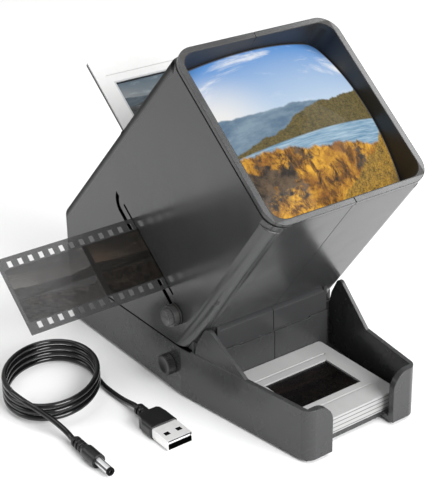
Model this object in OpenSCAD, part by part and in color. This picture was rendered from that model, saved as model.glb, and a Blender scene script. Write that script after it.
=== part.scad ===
// Film negative scanner / slide viewer: tilted viewing head on a low base with a slide tray.
// Millimetres. X is right seen from the front, -Y is the tray side, +Z is up, floor at z = 0.

/* [Head] */
// width of the viewing head
head_w = 80; // [70:0.5:95]
// lean of the film plane back from upright, as the turn of the gate frame
gate_tilt = 39.1; // [25:0.1:55]
// height of the gate frame's origin above the floor
gate_z = 48.75; // [40:0.25:60]
// distance from the gate frame to the front face of the viewing rim
rim_front = 81.3; // [60:0.1:100]
// thickness of the rim's lip
rim_lip = 1.8; // [1:0.1:4]
// width of the dark groove behind the lip
rim_groove = 1.2; // [0.3:0.1:1.5]
// depth of that groove
rim_groove_depth = 0.9; // [0.4:0.1:2]
// height of the rim along the film plane
rim_h = 82.6; // [70:0.1:95]
// corner radius of the rim
rim_r = 9; // [3:0.5:14]
// height of the optical axis along the film plane
axis_v = 28.8; // [20:0.1:40]
// slope of the upper rear face, as the angle of its normal
roof_angle = 43.8; // [30:0.1:60]
// distance of the upper rear face from the frame origin
roof_off = 110; // [95:0.5:125]
// position of the vertical rear face
rear_y = 98.5; // [85:0.5:115]
// slope of the underside, as the angle of its normal
under_angle = 217; // [205:0.5:230]
// distance of the underside from the frame origin
under_off = -14.4; // [-20:0.1:-8]
// radius along the long side edges of the head
side_r = 6.5; // [3:0.5:10]
// radius of the rear vertical edges
rear_r = 5; // [2:0.5:9]
// radius of the bend from the upper rear face to the rear face
bend_r = 8; // [3:0.5:15]
// wall thickness of all housing shells
wall = 2.2; // [1.6:0.1:3.5]
// width of the fine line where two half shells meet
seam_w = 0.3; // [0.1:0.1:0.6]
// depth of that line
seam_depth = 0.7; // [0.3:0.1:1.2]
// half width of the fascia above the tray
fascia_hw = 30; // [25:0.5:34]
// front face of the fascia
fascia_y = -10; // [-14:0.5:-6]

/* [Lens] */
// half width of the lens opening
lens_hw = 37.6; // [30:0.1:38]
// half height of the lens opening
lens_hh = 38.7; // [30:0.1:40]
// corner radius of the lens opening
lens_r = 6.5; // [2:0.5:10]
// play between the lens and its opening
lens_gap = 0.2; // [0.05:0.05:0.5]
// distance from the gate frame to the flat back of the lens
lens_back = 60; // [50:0.5:66]
// distance from the gate frame to the crown of the lens
lens_crown = 80.4; // [74:0.1:81]
// radius of the bulging lens face
lens_curve = 100; // [80:1:200]

/* [Gate] */
// plane of the film strip
film_n = -4.65; // [-5:0.05:-4.6]
// thickness of the film strip
film_t = 0.2; // [0.12:0.02:0.3]
// plane of the mounted slide
slide_n = -3.3; // [-3.5:0.1:-3]
// width of the slot in the side for film
slit_w = 1; // [0.8:0.1:1.6]
// lower end of the film slot along the film plane
slit_v0 = 5.6; // [2:0.1:10]
// upper end of the film slot along the film plane
slit_v1 = 51.4; // [45:0.1:56]
// half width of the slide path
path_hw = 28.5; // [26:0.1:30]
// plane of the lever slot in the side
lever_n = -9.55; // [-12:0.05:-9.5]
// width of the lever slot
lever_slot_w = 2; // [1.6:0.1:3]
// resting height of the lever along the film plane
lever_v = -1.2; // [-3:0.1:2]
// travel of the lever
lever_travel = 47; // [30:1:50]
// half size of the picture window
window_h = 18.5; // [12:0.5:20]

/* [Base] */
// half width of the base
base_hw = 39.5; // [34:0.5:46]
// top of the base
base_top = 25.5; // [20:0.5:35]
// underside of the base above the floor
base_z = 1.5; // [0.5:0.1:3]
// where the sides start to draw in towards the front
taper_y = 4; // [-5:0.5:15]
// how far the sides draw in, as an angle
taper_angle = 8.03; // [4:0.1:12]
// front face of the tray's corner posts
tray_front = -68.8; // [-80:0.2:-68]
// front edge of the tray floor between the posts
floor_front = -61.8; // [-64:0.1:-58]
// top of the tray floor
tray_floor = 3.8; // [2.5:0.1:6]
// thickness of the tray's side walls
wing_t = 2; // [1.5:0.1:3]
// height of the side walls at the front
wing_top = 24.6; // [18:0.5:30]
// height of the side walls at their peak
wing_peak = 39.2; // [30:0.2:45]
// how far the side walls' upper part is set in
wing_inset = 0.3; // [0:0.1:0.6]
// thickness of the corner posts
post_t = 2.8; // [2.4:0.2:5]
// height of the corner posts
post_top = 24.6; // [20:0.2:30]
// inner edge of the corner posts
post_x = 16.5; // [10:0.5:24]
// radius of the posts' upper inner corners
post_r = 8; // [3:0.5:12]
// radius of the posts' outer edges
post_edge_r = 5; // [2:0.5:6]
// height of the dark line under the head
groove_h = 0.55; // [0.3:0.05:0.8]
// depth of that line
groove_depth = 1; // [0.5:0.1:1.6]

/* [Controls] */
// diameter of the lever's smooth collar
collar_d = 9.4; // [8:0.1:9.4]
// diameter of the lever's knurled cap
cap_d = 7.6; // [5:0.1:10]
// diameter of the light knob
knob_d = 9.4; // [8:0.1:14]
// how far the light knob stands out
knob_out = 3.6; // [2:0.1:6]
// position of the light knob from front to rear
knob_y = 12; // [8:0.5:30]
// height of the light knob
knob_z = 13.3; // [8:0.1:18]
// radius of the light knob's shaft
shaft_r = 2; // [1.2:0.1:3]
// running play round a shaft
shaft_gap = 0.05; // [0.02:0.01:0.1]

/* [Slides and film] */
// side of a slide mount
slide_w = 50.8; // [49:0.1:51]
// thickness of a slide mount
slide_t = 1.9; // [1.2:0.1:2.2]
// width of the window in a mount
slide_win_w = 34.2; // [30:0.1:36]
// height of the window in a mount
slide_win_h = 22.9; // [20:0.1:24]
// upper edge of the slide that stands in the top slot, along the film plane
slide_top_v = 122.8; // [60:0.1:124]
// sideways place of that slide
slide_x = 2.4; // [-2.5:0.1:2.5]
// left end of the film strip
film_x0 = -105; // [-140:1:-60]
// length of the film strip
film_len = 142; // [76:1:228]
// middle of the film strip along the film plane
film_v = 26.7; // [24:0.1:30]

/* [Cable] */
// diameter of the cable
cord_d = 2.4; // [2:0.1:4]
// middle of the coil, left to right
coil_x = -81.5; // [-120:0.5:-60]
// middle of the coil, front to rear
coil_y = 42; // [10:0.5:80]
// long half axis of a loop
coil_a = 25.5; // [15:0.5:45]
// short half axis of a loop
coil_b = 19.8; // [15:0.5:45]
// rise from one loop to the next
coil_pitch = 2.9; // [2.8:0.05:5]
// turn of the coil's long axis from the front-rear line
coil_turn = 37.72; // [0:1:90]
// angle at which the coil starts
coil_start = 30; // [0:15:90]
// angle at which the coil ends
coil_end = 1305; // [360:15:2000]
// place of the large plug, left to right
usb_x = -61.8; // [-70:0.5:-55]
// place of the round plug, left to right
dc_x = -95; // [-110:0.5:-80]

/* [Hidden] */
$fn = 48;
far = 300;
hw = head_w / 2;
sn = sin(gate_tilt);
cs = cos(gate_tilt);
front_a = 90 + gate_tilt;
rim_back = rim_front - rim_lip;
neck_n = rim_back - rim_groove;
front_off = neck_n + cs * gate_z;
plug_z = 3.15;
dc_z = 3.1;
slot_back = slide_n - 1.5;
slot_front = slide_n + 1.5;
path_back = slide_n - slide_t / 2 - 0.15;
path_front = slide_n + slide_t / 2 + 0.3;
light_hw = path_hw + 0.5;
light_n = film_n - 2.75;
// inner face of the head's side, less the lever's clearance
lever_x = hw - wall - 0.4;
screw_r = 1.4;
bore_r = 3.1;
boss_r = 4.3;
board_z = 6;
// rounding cylinders cross the faces by this much in place of only touching them
cross_by = 0.02;

// where two lines cross, each given by the angle of its normal and its distance
function cross2(a, o, b, q) =
    [(o * sin(b) - q * sin(a)) / sin(b - a), (q * cos(a) - o * cos(b)) / sin(b - a)];
// a point of the gate frame in y and z
function gate_yz(v, n) = [cs * v - sn * n, gate_z + sn * v + cs * n];

module gate() translate([0, 0, gate_z]) rotate([gate_tilt, 0, 0]) children();
module box(x0, x1, y0, y1, z0, z1)
    translate([x0, y0, z0]) cube([x1 - x0, y1 - y0, z1 - z0]);
module rrect(w, h, r) {
    square([w - 2 * r, h], center = true);
    square([w, h - 2 * r], center = true);
    for (i = [-1, 1], j = [-1, 1])
        translate([i * (w / 2 - r), j * (h / 2 - r)]) circle(r);
}
// what a rounded straight edge leaves off, along an edge through the origin
module edge_tool(r, len) {
    difference() {
        translate([-r, -r, 0]) cube([r + 2, r + 2, len]);
        translate([-r, -r, -1]) cylinder(r = r + cross_by, h = len + 2);
    }
}
// what a rounded corner between two faces leaves off a profile
module corner_tool(a, o, b, q, r) {
    c = cross2(a, o - r, b, q - r);
    v = cross2(a, o, b, q);
    t1 = [c[0] + 1.2 * r * cos(a), c[1] + 1.2 * r * sin(a)];
    t2 = [c[0] + 1.2 * r * cos(b), c[1] + 1.2 * r * sin(b)];
    difference() {
        polygon([c, t1, c + 1.5 * (v - c), t2]);
        translate(c) circle(r + cross_by);
    }
}
module along_x(x0, x1) translate([x0, 0, 0]) rotate([90, 0, 90]) linear_extrude(x1 - x0) children();

/* ---- head ---- */
module head_body(t, r, floor_z, front) {
    fo = front + cs * gate_z;
    difference() {
        along_x(-hw + t, hw - t) difference() {
            polygon([cross2(roof_angle, roof_off - t, front_a, fo),
                     cross2(roof_angle, roof_off - t, 0, rear_y - t),
                     [rear_y - t, floor_z],
                     cross2(under_angle, under_off - t, 270, -floor_z),
                     cross2(under_angle, under_off - t, front_a, fo)]);
            corner_tool(roof_angle, roof_off - t, 0, rear_y - t, bend_r - t);
        }
        for (m = [0, 1]) mirror([m, 0, 0]) {
            rotate([under_angle, 0, 0]) translate([hw - t, under_off - t, -far]) edge_tool(r, 2 * far);
            rotate([roof_angle, 0, 0]) translate([hw - t, roof_off - t, -far]) edge_tool(r, 2 * far);
            translate([hw - t, rear_y - t, 0]) edge_tool(rear_r - t, far);
        }
    }
}
module fascia() {
    y1 = 0;
    along_x(-fascia_hw, fascia_hw)
        polygon([[fascia_y, base_top], [y1, base_top], [y1, base_top + 4.5],
                 [fascia_y + 1.2, base_top + 13.5], [fascia_y, base_top + 13.5]]);
}
module rim_plate(n0, n1, t) gate() translate([0, axis_v, n0]) linear_extrude(n1 - n0)
    rrect(head_w + 0.6 - 2 * t, rim_h - 2 * t, rim_r - t);
module lens_prism(n0, n1, t) gate() translate([0, axis_v, n0]) linear_extrude(n1 - n0)
    rrect(2 * (lens_hw - t), 2 * (lens_hh - t), lens_r - t);
module boss(y, z, r, x0, x1) translate([x0, y, z]) rotate([0, 90, 0]) cylinder(r = r, h = x1 - x0);
head_screws = [gate_yz(68.6, 20), gate_yz(-8.3, 20), [80, 60]];
base_screws = [[-5, 12.5], [78, 17]];
module lever_slot() {
    bend = 6;
    mid_v = slit_v1;
    gate() {
        box(-hw - 1, -hw + wall + 1, lever_v, mid_v, lever_n - lever_slot_w / 2, lever_n + lever_slot_w / 2);
        translate([-hw - 1, lever_v, lever_n]) rotate([0, 90, 0])
            cylinder(r = lever_slot_w / 2, h = wall + 2);
        difference() {
            translate([-hw - 1, mid_v, lever_n + bend]) rotate([0, 90, 0])
                cylinder(r = bend + lever_slot_w / 2, h = wall + 2);
            translate([-hw - 2, mid_v, lever_n + bend]) rotate([0, 90, 0])
                cylinder(r = bend - lever_slot_w / 2, h = wall + 4);
            box(-hw - 2, -hw + wall + 2, mid_v - 20, mid_v, lever_n - 20, lever_n + 20);
            box(-hw - 2, -hw + wall + 2, mid_v - 20, mid_v + 20, lever_n + bend * 0.75, lever_n + 20);
        }
    }
}
module head_shell() {
    difference() {
        union() {
            difference() {
                head_body(0, side_r, base_top, neck_n - 3);
                intersection() {
                    head_body(wall, side_r - wall, base_top - 1, lens_back);
                    box(-hw, hw, -far, far, -far, far);
                }
            }
            fascia();
            intersection() {
                head_body(0, side_r, base_top, neck_n + 5);
                rim_plate(neck_n - 4, neck_n, 0);
            }
            rim_plate(neck_n - 5, rim_back + 0.5, rim_groove_depth);
            rim_plate(rim_back, rim_front, 0);
            for (p = head_screws) boss(p[0], p[1], boss_r, -hw + wall / 2, hw - wall / 2);
        }
        lens_prism(lens_back - 1, rim_front + 1, 0);
        // slot in the upper rear face and the way out to the tray
        gate() box(-path_hw, path_hw, 62, 90, slot_back, slot_front);
        gate() box(-path_hw, path_hw, -60, 8, path_back, path_front);
        // film slots
        gate() box(-far, far, slit_v0, slit_v1, film_n - slit_w / 2, film_n + slit_w / 2);
        lever_slot();
        for (p = head_screws) {
            boss(p[0], p[1], screw_r, -10, 9);
            boss(p[0], p[1], bore_r, 8, hw + 1);
        }
        difference() {
            box(-seam_w / 2, seam_w / 2, -far, far, 0, far);
            head_body(seam_depth, side_r - seam_depth, base_top - 1, neck_n);
            box(-1, 1, fascia_y + seam_depth, 10, 0, 40);
        }
    }
    // rails for the lever's shoe
    gate() for (n = [lever_n - 4.6, lever_n + 2.55])
        box(-hw + wall / 2, -hw + wall + 4, lever_v - 6, 57, n, n + 0.7);
}
module half(s) box(s > 0 ? 0 : -far, s > 0 ? far : 0, -far, far, -far, far);
module head_left() color([0.33, 0.34, 0.35]) intersection() {
    head_shell();
    half(-1);
}
module head_right() color([0.33, 0.34, 0.35]) intersection() {
    head_shell();
    half(1);
}
module lens() color([0.75, 0.82, 0.85, 0.6]) intersection() {
    lens_prism(lens_back, rim_front, lens_gap);
    gate() translate([0, axis_v, lens_crown - lens_curve]) sphere(lens_curve, $fn = 96);
}
module lens_retainer() color([0.12, 0.12, 0.13]) difference() {
    gate() translate([0, axis_v, lens_back - 4]) linear_extrude(4)
        rrect(2 * (hw - wall), 2 * lens_hh - 0.2, 4);
    gate() translate([0, axis_v, lens_back - 5]) linear_extrude(6)
        rrect(2 * lens_hw - 7, 2 * lens_hh - 8.2, 4);
}
module gate_frame() color([0.1, 0.1, 0.11]) gate() {
    difference() {
        box(-hw + wall, hw - wall, -9, 70, path_front, path_front + 1.4);
        translate([0, axis_v, path_front - 1]) linear_extrude(4) rrect(2 * window_h, 2 * window_h, 1.5);
    }
    for (s = [-1, 1])
        translate([s * (path_hw + 1.4), 30, (path_back + path_front) / 2])
            cube([2.4, 62, path_front - path_back], center = true);
}
module diffuser() color([0.95, 0.95, 0.93]) gate()
    box(-light_hw, light_hw, slit_v0 - 3.6, slit_v1 + 4.6, light_n, light_n + 2);
module light_box() color([0.9, 0.9, 0.9]) gate() difference() {
    union() {
        box(-light_hw, light_hw, slit_v0 - 3.6, slit_v1 + 4.6, light_n - 16.6, light_n);
        box(-hw + wall, hw - wall, slit_v0 - 3.6, slit_v1 + 4.6, light_n - 14.6, light_n - 12.6);
    }
    box(-light_hw + 1.6, light_hw - 1.6, slit_v0 - 2, slit_v1 + 3, light_n - 15, light_n + 1);
    box(-light_hw + 9, light_hw - 9, axis_v - 15, axis_v + 15, light_n - 18, light_n - 12);
}
module led_board() color([0.15, 0.4, 0.22]) gate() {
    box(-light_hw + 3, light_hw - 3, axis_v - 21, axis_v + 21, light_n - 18.2, light_n - 16.6);
    for (i = [-1, 0, 1], j = [-1, 1])
        box(i * 13 - 1.75, i * 13 + 1.75, axis_v + j * 8 - 1.75, axis_v + j * 8 + 1.75,
            light_n - 16.6, light_n - 15.5);
}

/* ---- lever ---- */
module lever_shoe() color([0.1, 0.1, 0.11]) gate() {
    box(-lever_x, -lever_x + 5.9, lever_v - 4, lever_v + 4, lever_n - 3.6, lever_n + 2.2);
}
module knurl(r, h, n) linear_extrude(h)
    polygon([for (i = [0:2 * n - 1]) let (q = i % 2 == 0 ? r : r - 0.35)
        [q * cos(i * 180 / n), q * sin(i * 180 / n)]]);
module lever_knob() color([0.16, 0.16, 0.17]) gate()
    translate([-lever_x, lever_v, lever_n]) rotate([0, -90, 0]) {
        cylinder(r = lever_slot_w / 2 - 0.1, h = 4);
        translate([0, 0, 3]) cylinder(r = collar_d / 2, h = 0.8);
        translate([0, 0, 3.8]) cylinder(r = collar_d / 2 - 0.5, h = 0.5);
        translate([0, 0, 4.3]) cylinder(r = collar_d / 2, h = 2.3);
        difference() {
            translate([0, 0, 6.6]) knurl(cap_d / 2, 1.8, 26);
            translate([0, 0, 8.4 + 7]) sphere(7.6, $fn = 64);
        }
    }

/* ---- light knob ---- */
module light_knob() color([0.16, 0.16, 0.17])
    translate([-base_hw - 0.3, knob_y, knob_z]) rotate([0, -90, 0]) {
        difference() {
            knurl(knob_d / 2, knob_out - 0.3, 32);
            translate([0, 0, knob_out - 0.3 + 9]) sphere(9.7, $fn = 64);
        }
        translate([0, 0, -7.5]) cylinder(r = shaft_r, h = 8);
    }
module dimmer() color([0.2, 0.3, 0.45]) difference() {
    box(-base_hw + wall, -base_hw + wall + 8, knob_y - 6.5, knob_y + 6.5, knob_z - 6.5, knob_z + 6.5);
    translate([-base_hw, knob_y, knob_z]) rotate([0, 90, 0]) cylinder(r = shaft_r + shaft_gap, h = 8);
}

/* ---- base ---- */
function taper_x(y) = base_hw - (taper_y - y) * tan(taper_angle);
side_off = base_hw * cos(taper_angle) - taper_y * sin(taper_angle);
front_y = -4.4;
wall_y = fascia_y - 0.8;
module base_plan(t) {
    y0 = tray_front - 20;
    polygon([[-base_hw + t, rear_y - t], [-base_hw + t, taper_y], [-taper_x(y0) + t, y0],
             [taper_x(y0) - t, y0], [base_hw - t, taper_y], [base_hw - t, rear_y - t]]);
}
module base_block(t, y0, z0, z1) difference() {
    intersection() {
        translate([0, 0, z0]) linear_extrude(z1 - z0) base_plan(t);
        box(-60, 60, y0, 120, z0 - 1, z1 + 1);
    }
    for (m = [0, 1]) mirror([m, 0, 0]) translate([base_hw - t, rear_y - t, -10]) edge_tool(rear_r - t, 60);
}
function tangent(p, c, r, s) =
    let (d = norm(c - p), a = atan2(c[1] - p[1], c[0] - p[0]) + s * asin(r / d), l = sqrt(d * d - r * r))
    [p[0] + l * cos(a), p[1] + l * sin(a)];
module front_plan() difference() {
    base_plan(0);
    for (m = [0, 1]) mirror([m, 0, 0])
        corner_tool(-90, -tray_front, -taper_angle, side_off, post_edge_r);
}
module wing() {
    r = 3.2;
    c = [-13, wing_peak - r];
    p = [-34, wing_top];
    q = [-6.2, 30.5];
    difference() {
        intersection() {
            along_x(20, 50) {
                polygon([[tray_front + 2, base_z], [tray_front + 2, wing_top], p, tangent(p, c, r, 1),
                         tangent(q, c, r, -1), q, [front_y, 24], [front_y + 2, 22], [front_y + 2, base_z]]);
                translate(c) circle(r + cross_by);
            }
            linear_extrude(60) difference() {
                front_plan();
                base_plan(wing_t);
            }
        }
        // the part above the front edge is set in a little
        translate([0, 0, wing_top + cross_by]) linear_extrude(40) difference() {
            base_plan(-2);
            base_plan(wing_inset);
        }
    }
}
module post() {
    intersection() {
        translate([0, tray_front + post_t, 0]) rotate([90, 0, 0]) linear_extrude(post_t) difference() {
            polygon([[post_x, base_z], [36, base_z], [36, post_top], [post_x, post_top]]);
            corner_tool(180, -post_x, 90, post_top, post_r);
        }
        linear_extrude(60) front_plan();
    }
    // foot behind the post, up to the tray floor
    intersection() {
        box(post_x, 36, tray_front, floor_front + 0.5, base_z, tray_floor);
        linear_extrude(60) front_plan();
    }
}
module base_floor() intersection() {
    translate([0, 0, base_z]) linear_extrude(tray_floor - base_z) base_plan(1);
    box(-60, 60, floor_front, 0, 0, 20);
}
// closes the gap under the head's rounded lower edges
module edge_filler() difference() {
    box(fascia_hw + 0.3, base_hw - 1.7, front_y + 1, 12, base_top - 1, base_top + 5);
    head_body(-0.2, side_r + 0.2, base_top - 2, 60);
}
module base_shell() {
    difference() {
        union() {
            base_block(0, front_y, base_z, base_top);
            box(-fascia_hw, fascia_hw, wall_y, front_y + 1, base_z, base_top);
            base_floor();
            for (m = [0, 1]) mirror([m, 0, 0]) {
                wing();
                post();
            }
        }
        difference() {
            union() {
                base_block(wall, front_y + wall, base_z + wall, base_top + 1);
                box(-fascia_hw + wall, fascia_hw - wall, wall_y + wall, front_y + wall + 1,
                    base_z + wall, base_top + 1);
            }
            for (p = base_screws) boss(p[0], p[1], boss_r, -base_hw, base_hw);
            for (x = [-24, 24], y = [28, 70]) translate([x, y, 0]) cylinder(r = 3, h = board_z);
        }
        for (p = base_screws) {
            boss(p[0], p[1], screw_r, -10, 9);
            boss(p[0], p[1], bore_r, 8, base_hw + 1);
        }
        // groove under the head
        difference() {
            box(-50, 50, wall_y - 5, 110, base_top - groove_h, base_top + 1);
            base_block(groove_depth, front_y + groove_depth, 0, 40);
            box(-fascia_hw + groove_depth, fascia_hw - groove_depth, wall_y + groove_depth, 0, 0, 40);
            for (m = [0, 1]) mirror([m, 0, 0]) box(20, 50, -80, front_y, 0, 40);
        }
        // fine line where the halves meet
        box(-seam_w / 2, seam_w / 2, wall_y - 1, wall_y + seam_depth, tray_floor, 40);
        // knob shaft and socket holes
        translate([-base_hw - 1, knob_y, knob_z]) rotate([0, 90, 0])
            cylinder(r = shaft_r + shaft_gap, h = 6);
        box(20.5, 29.5, rear_y - 4, rear_y + 1, board_z + 1.6, board_z + 9.6);
    }
    for (m = [0, 1]) mirror([m, 0, 0]) edge_filler();
}
module base_left() color([0.3, 0.31, 0.32]) intersection() {
    base_shell();
    half(-1);
}
module base_right() color([0.3, 0.31, 0.32]) intersection() {
    base_shell();
    half(1);
}
module control_board() color([0.12, 0.38, 0.2])
    box(-base_hw + 9.5, base_hw - 9.5, knob_y + 8.5, rear_y - 4.5, board_z, board_z + 1.6);
module power_jack() color([0.08, 0.08, 0.09]) difference() {
    box(20.5, 29.5, rear_y - 12, rear_y - 0.3, board_z + 1.6, board_z + 9.6);
    difference() {
        translate([25, rear_y - 9, board_z + 5.6]) rotate([-90, 0, 0]) cylinder(r = 1.85, h = 12);
        translate([25, rear_y - 10, board_z + 5.6]) rotate([-90, 0, 0]) cylinder(r = 0.6, h = 8);
    }
}
module housing_screws() color([0.7, 0.7, 0.72]) for (p = concat(head_screws, base_screws)) {
    boss(p[0], p[1], screw_r, -9, 8.5);
    difference() {
        boss(p[0], p[1], 2.7, 8, 9.8);
        boss(p[0], p[1], 1.1, 9, 10);
    }
}
module rubber_feet() color([0.06, 0.06, 0.06]) for (m = [0, 1]) mirror([m, 0, 0]) {
    box(post_x + 1.5, post_x + 11, tray_front + 2.8, tray_front + 10.8, 0, base_z);
    box(base_hw - 15.5, base_hw - 5.5, rear_y - 16.5, rear_y - 6.5, 0, base_z);
    box(0, 9, -4, 4, 0, base_z);
}

/* ---- film and slides ---- */
module film_strip() color([0.35, 0.33, 0.33, 0.7]) gate() difference() {
    box(film_x0, film_x0 + film_len, film_v - 17.5, film_v + 17.5, film_n - film_t / 2, film_n + film_t / 2);
    for (i = [0:floor((film_len - 7) / 4.75)], j = [-1, 1])
        translate([film_x0 + 5.2 + i * 4.75, film_v + j * 14.1, film_n])
            cube([1.98, 2.8, 1], center = true);
}
module mount() difference() {
    translate([0, 0, -slide_t / 2]) linear_extrude(slide_t) difference() {
        rrect(slide_w, slide_w, 1.5);
        square([slide_win_w, slide_win_h], center = true);
    }
    cube([slide_win_w + 1.4, slide_win_h + 1.4, 0.2], center = true);
    for (j = [-1, 1]) translate([0, j * 15.5, slide_t / 2]) cube([40, 1.2, 0.5], center = true);
}
module chip() cube([slide_win_w + 1.4, slide_win_h + 1.4, 0.2], center = true);
module in_slot() gate() translate([slide_x, slide_top_v - slide_w / 2, slide_n]) children();
module viewed_mount() color([0.93, 0.93, 0.92]) in_slot() mount();
module viewed_film() color([0.5, 0.6, 0.6]) in_slot() chip();
module in_tray(i) translate([0, wall_y - 0.3 - slide_w / 2, tray_floor + (i - 0.5) * slide_t]) children();
module tray_mount_1() color([0.93, 0.93, 0.92]) in_tray(1) mount();
module tray_mount_2() color([0.93, 0.93, 0.92]) in_tray(2) mount();
module tray_mount_3() color([0.93, 0.93, 0.92]) in_tray(3) mount();
module tray_mount_4() color([0.93, 0.93, 0.92]) in_tray(4) mount();
module tray_film_1() color([0.4, 0.35, 0.3]) in_tray(1) chip();
module tray_film_2() color([0.4, 0.35, 0.3]) in_tray(2) chip();
module tray_film_3() color([0.4, 0.35, 0.3]) in_tray(3) chip();
module tray_film_4() color([0.4, 0.35, 0.3]) in_tray(4) chip();

/* ---- cable ---- */
cw = [cos(coil_turn), -sin(coil_turn), 0];
cu = [sin(coil_turn), cos(coil_turn), 0];
function loop(t) = [coil_x, coil_y, cord_d / 2 + 0.1 + coil_pitch * (t - coil_start) / 360]
    + coil_b * cos(t) * cw + coil_a * sin(t) * cu;
function unit(v) = v / norm(v);
coil_pts = [for (t = [coil_start:15:coil_end]) loop(t)];
coil_n = len(coil_pts);
coil_gap = min([for (i = [0:coil_n - 13], j = [i + 12:coil_n - 1])
    norm(coil_pts[i] - coil_pts[j])]) - cord_d;
echo("least gap between loops", coil_gap);
head_a = unit(loop(coil_start) - loop(coil_start + 1));
head_b = unit(loop(coil_end) - loop(coil_end - 1));
usb_pts = [loop(coil_start), loop(coil_start) + cord_d * head_a, [-62.2, 31, 1.3], [-62.3, 22, 1.4],
           [-62.1, 14.5, 1.9], [-61.9, 9.3, 2.75], [usb_x, 6.9, plug_z - 0.05], [usb_x, 4.5, plug_z]];
dc_pts = [loop(coil_end), loop(coil_end) + cord_d * head_b, [-102.6, 26, 11.2], [-99.8, 18.5, 9.4],
          [-97, 12, 6.6], [-95.3, 6.5, 4.2], [dc_x, 3, dc_z + 0.05], [dc_x, 0.6, dc_z]];
// a curve through the given points, cut fine by a cubic rule
function curve(p, k) = let (m = len(p) - 1) [for (i = [0:m - 1], s = [0:k - 1])
    let (a = p[max(i - 1, 0)], b = p[i], c = p[i + 1], d = p[min(i + 2, m)], t = s / k)
    b + (c - a) * t / 2 + (2 * a - 5 * b + 4 * c - d) * t * t / 2
    + (3 * b - a - 3 * c + d) * t * t * t / 2, p[m]];
module tube(p, d, sides) {
    m = len(p) - 1;
    pts = [for (i = [0:m])
        let (t = unit(p[min(i + 1, m)] - p[max(i - 1, 0)]), a = unit(cross(t, [0, 0, 1])), b = cross(a, t))
        for (k = [0:sides - 1]) p[i] + d / 2 * (cos(k * 360 / sides) * a + sin(k * 360 / sides) * b)];
    side = [for (i = [0:m - 1], k = [0:sides - 1])
        let (k2 = (k + 1) % sides, a = i * sides + k, b = i * sides + k2, c = a + sides, e = b + sides)
        each [[a, c, b], [b, c, e]]];
    ends = [for (k = [1:sides - 2]) each [[0, k, k + 1], [m * sides, m * sides + k + 1, m * sides + k]]];
    polyhedron(points = pts, faces = concat(side, ends));
}
module cable_coil() color([0.07, 0.07, 0.07]) tube(coil_pts, cord_d, 6);
module usb_lead() color([0.07, 0.07, 0.07]) tube(curve(usb_pts, 3), cord_d, 8);
module dc_lead() color([0.07, 0.07, 0.07]) tube(curve(dc_pts, 3), cord_d, 8);
module usb_plug_body() color([0.06, 0.06, 0.06]) {
    translate([usb_x, 4.5, plug_z]) rotate([90, 0, 0]) {
        cylinder(r1 = 1.7, r2 = 2.2, h = 8.2);
        for (z = [1.2, 3.6, 6]) translate([0, 0, z]) cylinder(r = 2.5, h = 1.1);
    }
    intersection() {
        translate([usb_x, -3.5, plug_z]) rotate([90, 0, 0]) linear_extrude(12) rrect(13.2, 6.2, 1.8);
        translate([usb_x, 0, -1]) linear_extrude(10)
            polygon([[-3.6, -3], [-5.2, -4.6], [-5.6, -7], [-6.9, -9.4], [-6.9, -13], [-6.2, -16],
                     [6.2, -16], [6.9, -13], [6.9, -9.4], [5.6, -7], [5.2, -4.6], [3.6, -3]]);
    }
}
module usb_plug_shell() color([0.8, 0.8, 0.82]) translate([usb_x, -15.5, plug_z]) rotate([90, 0, 0]) {
    difference() {
        linear_extrude(11.5) rrect(12, 4.5, 0.5);
        translate([0, 0, 1]) linear_extrude(12) square([11.3, 3.9], center = true);
        for (i = [-1, 1], j = [-1, 1]) translate([i * 2.9, j * 2.1, 6.4]) cube([2.4, 1, 2.2], center = true);
    }
    translate([-5.5, 0, 0.5]) cube([11, 1.7, 10.2]);
}
module dc_plug_body() color([0.06, 0.06, 0.06]) translate([dc_x, 0.6, dc_z]) rotate([90, 0, 0]) {
    cylinder(r1 = 1.6, r2 = 2.1, h = 9);
    for (z = [1.4, 3.8, 6.2]) translate([0, 0, z]) cylinder(r = 2.3, h = 1);
    translate([0, 0, 9]) cylinder(r1 = 2.5, r2 = 3, h = 1.5);
    translate([0, 0, 10.5]) cylinder(r = 3, h = 8.5);
}
module dc_plug_tip() color([0.8, 0.8, 0.82]) translate([dc_x, -18.4, dc_z]) rotate([90, 0, 0]) difference() {
    cylinder(r = 1.75, h = 9);
    translate([0, 0, 1]) cylinder(r = 0.7, h = 10);
}

head_left();
head_right();
lens();
lens_retainer();
gate_frame();
diffuser();
light_box();
led_board();
lever_shoe();
lever_knob();
light_knob();
dimmer();
base_left();
base_right();
control_board();
power_jack();
housing_screws();
rubber_feet();
film_strip();
viewed_mount();
viewed_film();
tray_mount_1();
tray_mount_2();
tray_mount_3();
tray_mount_4();
tray_film_1();
tray_film_2();
tray_film_3();
tray_film_4();
cable_coil();
usb_lead();
dc_lead();
usb_plug_body();
usb_plug_shell();
dc_plug_body();
dc_plug_tip();
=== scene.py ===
import math
from functools import reduce

import bmesh
import bpy
from mathutils import Matrix, Vector


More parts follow.
